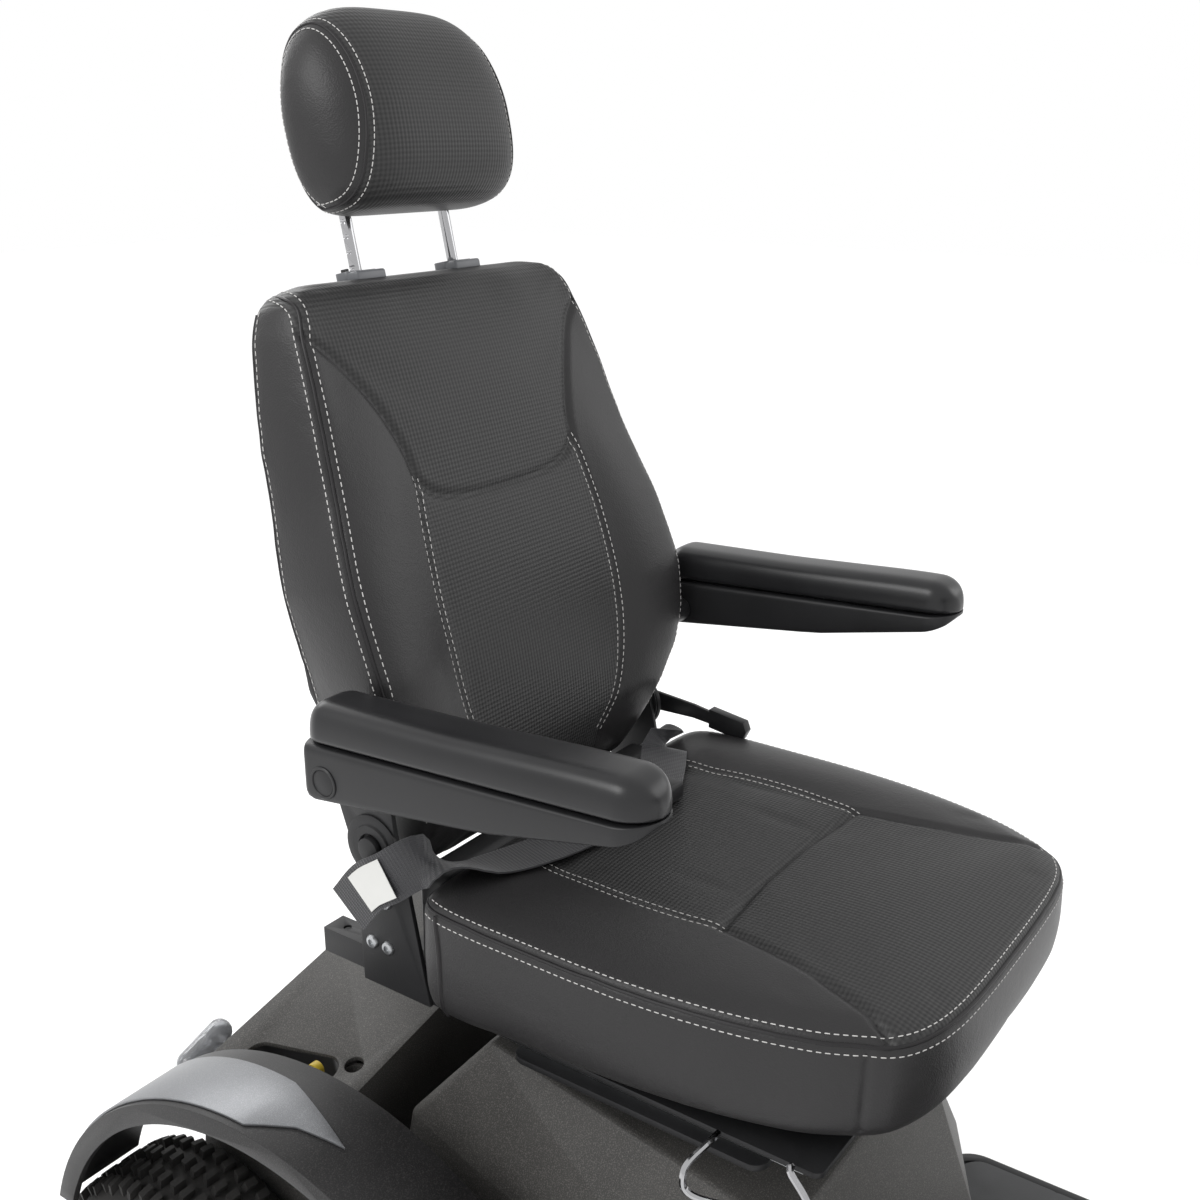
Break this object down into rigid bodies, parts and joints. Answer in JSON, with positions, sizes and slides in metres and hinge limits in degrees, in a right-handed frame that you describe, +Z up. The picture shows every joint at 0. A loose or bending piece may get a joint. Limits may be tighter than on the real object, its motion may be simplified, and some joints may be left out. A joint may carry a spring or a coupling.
{
  "type": "powered wheelchair",
  "caption": "Four-wheel powered chair with a reclining captain's seat, headrest, flip-up armrests, lap belt, fendered base and steering tiller.",
  "frame": {"origin": "on the floor under the middle of the whole chair", "axes": "+Z up, the front faces -Y, the rider's left is +X"},
  "size_m": [0.748, 1.49, 1.4519],
  "materials": {
    "frame_black": "satin powder coat",
    "leather_black": "soft grained leatherette, woven panels",
    "rubber_black": "moulded rubber",
    "tyre_black": "knobby tread",
    "cover_grey": "fine textured, slightly metallic moulding",
    "plastic_black": "fine textured",
    "pad_black": "soft satin polyurethane",
    "trim_silver": "metallic lacquer",
    "lens_clear": "clear moulding",
    "zinc": "zinc plated",
    "alloy": "cast and machined",
    "chrome": "polished",
    "guide_grey": "smooth",
    "lever_yellow": "moulded",
    "button_red": "moulded",
    "webbing": "woven webbing",
    "battery_grey": "smooth",
    "mat_grey": "ribbed sheet"
  },
  "bodies": {
    "base": {"chassis_frame": "frame_black", "floor_pan": "plastic_black", "floor_mat": "mat_grey", "rear_deck": "cover_grey", "seat_shroud": "cover_grey", "fender_right": "plastic_black", "fender_left": "plastic_black", "fender_trims": "trim_silver", "lamp_lenses": "lens_clear", "bumpers": "frame_black", "batteries": "battery_grey", "controller": "alloy", "transaxle": "alloy", "front_cowl": "cover_grey", "anti_tip_bracket": "frame_black"},
    "anti_tip": {"anti_tip_wheels": "rubber_black"},
    "freewheel": {"freewheel_lever": "lever_yellow"},
    "rear_wheel_right": {"rear_tyre_right": "tyre_black", "rear_rim_right": "alloy"},
    "rear_wheel_left": {"rear_tyre_left": "tyre_black", "rear_rim_left": "alloy"},
    "front_wheel_right": {"front_tyre_right": "tyre_black", "front_rim_right": "alloy"},
    "front_wheel_left": {"front_tyre_left": "tyre_black", "front_rim_left": "alloy"},
    "steer_right": {"knuckle_right": "frame_black"},
    "steer_left": {"knuckle_left": "frame_black"},
    "track_rod": {"tie_rod": "zinc"},
    "stem": {"steering_stem": "frame_black"},
    "tiller": {"tiller_column": "frame_black", "tiller_head": "cover_grey", "handlebar": "frame_black", "handlebar_grips": "rubber_black"},
    "throttle": {"throttle_lever": "plastic_black"},
    "speed": {"speed_knob": "plastic_black"},
    "ignition": {"key": "zinc"},
    "horn": {"horn_button": "button_red"},
    "swivel": {"swivel_plate": "frame_black", "slide_rails": "zinc"},
    "swivel_catch": {"swivel_lever": "plastic_black"},
    "seat": {"seat_pan": "frame_black", "seat_cushion": "leather_black", "recliner_plates": "frame_black", "lap_belt": "webbing", "belt_buckle": "plastic_black"},
    "slide_catch": {"slide_release": "chrome"},
    "recline_catch": {"recline_lever": "plastic_black"},
    "belt_button": {"belt_release": "button_red"},
    "back": {"back_frame": "frame_black", "back_shell": "plastic_black", "backrest_pad": "leather_black", "headrest_guides": "guide_grey"},
    "head_button": {"headrest_button": "plastic_black"},
    "headrest": {"headrest_posts": "chrome", "headrest_pad": "leather_black"},
    "arm_right": {"arm_shell_right": "plastic_black", "arm_pad_right": "pad_black"},
    "arm_left": {"arm_shell_left": "plastic_black", "arm_pad_left": "pad_black"}
  },
  "joints": [
    {"name": "rear_wheel_right_spin", "type": "hinge", "parent": "base", "child": "rear_wheel_right", "pos_m": [-0.305, 0.572, 0.162], "axis": [1, 0, 0], "continuous": true},
    {"name": "rear_wheel_left_spin", "type": "hinge", "parent": "base", "child": "rear_wheel_left", "pos_m": [0.305, 0.572, 0.162], "axis": [1, 0, 0], "continuous": true},
    {"name": "steer", "type": "hinge", "parent": "base", "child": "stem", "pos_m": [0, -0.56, 0.3], "axis": [0, 0, 1], "range_deg": [-35, 35]},
    {"name": "steer_right", "type": "hinge", "parent": "base", "child": "steer_right", "pos_m": [-0.215, -0.56, 0.135], "axis": [0, 0, 1], "range_deg": [-35, 35]},
    {"name": "steer_left", "type": "hinge", "parent": "base", "child": "steer_left", "pos_m": [0.215, -0.56, 0.135], "axis": [0, 0, 1], "range_deg": [-35, 35]},
    {"name": "track_rod_pivot", "type": "hinge", "parent": "steer_right", "child": "track_rod", "pos_m": [-0.215, -0.5, 0.09], "axis": [0, 0, 1], "range_deg": [-35, 35]},
    {"name": "front_wheel_right_spin", "type": "hinge", "parent": "steer_right", "child": "front_wheel_right", "pos_m": [-0.29, -0.56, 0.135], "axis": [1, 0, 0], "continuous": true},
    {"name": "front_wheel_left_spin", "type": "hinge", "parent": "steer_left", "child": "front_wheel_left", "pos_m": [0.29, -0.56, 0.135], "axis": [1, 0, 0], "continuous": true},
    {"name": "tiller_tilt", "type": "hinge", "parent": "stem", "child": "tiller", "pos_m": [0, -0.56, 0.548], "axis": [1, 0, 0], "range_deg": [-14, 20]},
    {"name": "throttle", "type": "hinge", "parent": "tiller", "child": "throttle", "pos_m": [0, -0.37397, 0.89208], "axis": [0, 0.4067, 0.9135], "range_deg": [-20, 20], "stiffness_Nm_per_rad": 0.5},
    {"name": "speed_turn", "type": "hinge", "parent": "tiller", "child": "speed", "pos_m": [0, -0.32885, 0.94424], "axis": [0, 0.9135, -0.4067], "range_deg": [-135, 135]},
    {"name": "key_turn", "type": "hinge", "parent": "tiller", "child": "ignition", "pos_m": [0.046, -0.32885, 0.94424], "axis": [0, 0.9135, -0.4067], "range_deg": [0, 60]},
    {"name": "horn_press", "type": "slide", "parent": "tiller", "child": "horn", "axis": [0, -0.9135, 0.4067], "range_m": [0, 0.003], "stiffness_N_per_m": 400},
    {"name": "freewheel", "type": "hinge", "parent": "base", "child": "freewheel", "pos_m": [-0.217, 0.488, 0.352], "axis": [-1, 0, 0], "range_deg": [0, 38]},
    {"name": "anti_tip_spin", "type": "hinge", "parent": "base", "child": "anti_tip", "pos_m": [0, 0.705, 0.058], "axis": [1, 0, 0], "continuous": true},
    {"name": "seat_swivel", "type": "hinge", "parent": "base", "child": "swivel", "pos_m": [0, 0.09, 0.5], "axis": [0, 0, 1], "range_deg": [-90, 90]},
    {"name": "swivel_catch", "type": "hinge", "parent": "swivel", "child": "swivel_catch", "pos_m": [0.1, 0.02, 0.54], "axis": [0, 0, 1], "range_deg": [0, 20], "stiffness_Nm_per_rad": 0.6},
    {"name": "seat_slide", "type": "slide", "parent": "swivel", "child": "seat", "axis": [0, 1, 0], "range_m": [-0.06, 0.06]},
    {"name": "slide_catch", "type": "hinge", "parent": "seat", "child": "slide_catch", "pos_m": [-0.21, -0.04, 0.582], "axis": [0, 1, 0], "range_deg": [0, 25], "stiffness_Nm_per_rad": 0.3},
    {"name": "recline", "type": "hinge", "parent": "seat", "child": "back", "pos_m": [0, 0.358, 0.726], "axis": [1, 0, 0], "range_deg": [-30, 38]},
    {"name": "recline_catch", "type": "hinge", "parent": "seat", "child": "recline_catch", "pos_m": [0.22, 0.358, 0.726], "axis": [-1, 0, 0], "range_deg": [0, 15], "stiffness_Nm_per_rad": 2, "springref_deg": -11.46},
    {"name": "belt_press", "type": "slide", "parent": "seat", "child": "belt_button", "axis": [0, 0, -1], "range_m": [0, 0.0025], "stiffness_N_per_m": 300},
    {"name": "headrest_height", "type": "slide", "parent": "back", "child": "headrest", "axis": [0, 0.2079, 0.9781], "range_m": [-0.03, 0.05]},
    {"name": "headrest_unlock", "type": "slide", "parent": "back", "child": "head_button", "axis": [0, -0.2079, -0.9781], "range_m": [0, 0.004], "stiffness_N_per_m": 300},
    {"name": "arm_right_lift", "type": "hinge", "parent": "back", "child": "arm_right", "pos_m": [-0.27, 0.32108, 0.83608], "axis": [-1, 0, 0], "range_deg": [0, 95]},
    {"name": "arm_left_lift", "type": "hinge", "parent": "back", "child": "arm_left", "pos_m": [0.27, 0.32108, 0.83608], "axis": [-1, 0, 0], "range_deg": [0, 95]}
  ],
  "couplings": [
    {"joint": "steer_right", "follows": "steer", "ratio": 1},
    {"joint": "steer_left", "follows": "steer", "ratio": 1},
    {"joint": "track_rod_pivot", "follows": "steer", "ratio": -1}
  ]
}
